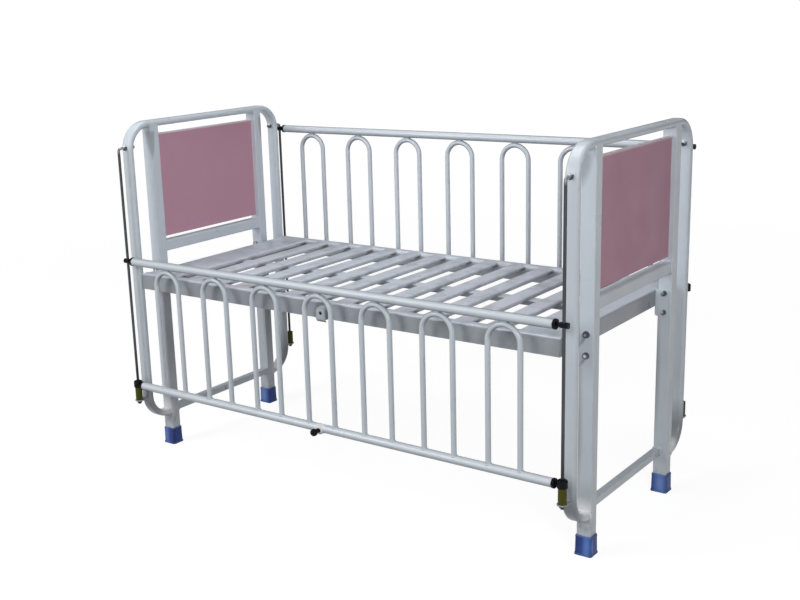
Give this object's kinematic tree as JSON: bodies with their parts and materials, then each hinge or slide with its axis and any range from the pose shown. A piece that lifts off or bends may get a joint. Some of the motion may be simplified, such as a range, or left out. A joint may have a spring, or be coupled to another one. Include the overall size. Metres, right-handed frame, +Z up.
{
  "type": "pediatric hospital cot",
  "caption": "Steel child's hospital cot: tubular end hoops with panels, a slatted deck, and barred side rails that slide on upright rods and latch when raised.",
  "frame": {"origin": "middle of the cot's bounding box, on the floor under the boots", "axes": "+X towards the foot end along the length, +Y towards the rear side, whose rail is raised, +Z up"},
  "size_m": [1.446, 0.786, 0.992],
  "materials": {
    "white_coat": "semi-gloss powder coat",
    "panel_laminate": "smooth mauve-pink laminate",
    "blue_rubber": "moulded, slightly glossy",
    "olive_rubber": "translucent dull",
    "black_plastic": "moulded, satin",
    "dark_steel": "oiled dark steel",
    "zinc_steel": "bright zinc",
    "dowel_wood": "plain beech"
  },
  "bodies": {
    "frame": {"deck_centre_beam": "white_coat", "deck_lugs": "white_coat", "deck_rail_foot": "white_coat", "deck_rail_front": "white_coat", "deck_rail_head": "white_coat", "deck_rail_rear": "white_coat", "deck_slats": "white_coat", "foot_boot_front": "blue_rubber", "foot_boot_rear": "blue_rubber", "foot_bumper_front": "olive_rubber", "foot_bumper_rear": "olive_rubber", "foot_cross_rail": "white_coat", "foot_guide_rod_front": "dark_steel", "foot_guide_rod_rear": "dark_steel", "foot_hoop": "white_coat", "foot_leg_front": "white_coat", "foot_leg_rear": "white_coat", "foot_panel": "panel_laminate", "foot_stretcher": "white_coat", "frame_bolts": "zinc_steel", "frame_nuts": "zinc_steel", "frame_washers": "zinc_steel", "front_catch_plate": "white_coat", "head_boot_front": "blue_rubber", "head_boot_rear": "blue_rubber", "head_bumper_front": "olive_rubber", "head_bumper_rear": "olive_rubber", "head_cross_rail": "white_coat", "head_guide_rod_front": "dark_steel", "head_guide_rod_rear": "dark_steel", "head_hoop": "white_coat", "head_leg_front": "white_coat", "head_leg_rear": "white_coat", "head_panel": "panel_laminate", "head_stretcher": "white_coat", "panel_dowels": "dowel_wood", "rear_catch_plate": "white_coat", "rod_bottom_nuts": "dark_steel", "rod_tabs": "white_coat", "rod_top_nuts": "zinc_steel"},
    "front_rail": {"front_latch_boss": "white_coat", "front_latch_spring": "zinc_steel", "front_rail_bars": "white_coat", "front_rail_bottom_guides": "black_plastic", "front_rail_bottom_tube": "white_coat", "front_rail_top_guides": "black_plastic", "front_rail_top_tube": "white_coat"},
    "rear_rail": {"rear_latch_boss": "white_coat", "rear_latch_spring": "zinc_steel", "rear_rail_bars": "white_coat", "rear_rail_bottom_guides": "black_plastic", "rear_rail_bottom_tube": "white_coat", "rear_rail_top_guides": "black_plastic", "rear_rail_top_tube": "white_coat"},
    "front_latch": {"front_latch_knob": "black_plastic", "front_latch_pin": "zinc_steel"},
    "rear_latch": {"rear_latch_knob": "black_plastic", "rear_latch_pin": "zinc_steel"}
  },
  "joints": [
    {"name": "front_rail_slide", "type": "slide", "parent": "frame", "child": "front_rail", "axis": [0, 0, 1], "range_m": [0, 0.311]},
    {"name": "rear_rail_slide", "type": "slide", "parent": "frame", "child": "rear_rail", "axis": [0, 0, 1], "range_m": [-0.311, 0]},
    {"name": "front_latch_pull", "type": "slide", "parent": "front_rail", "child": "front_latch", "axis": [0, -1, 0], "range_m": [0, 0.0065], "stiffness_N_per_m": 800, "springref_m": -0.01, "deforming": ["front_latch_spring"]},
    {"name": "rear_latch_pull", "type": "slide", "parent": "rear_rail", "child": "rear_latch", "axis": [0, 1, 0], "range_m": [0, 0.0065], "stiffness_N_per_m": 800, "springref_m": -0.01, "deforming": ["rear_latch_spring"]}
  ]
}
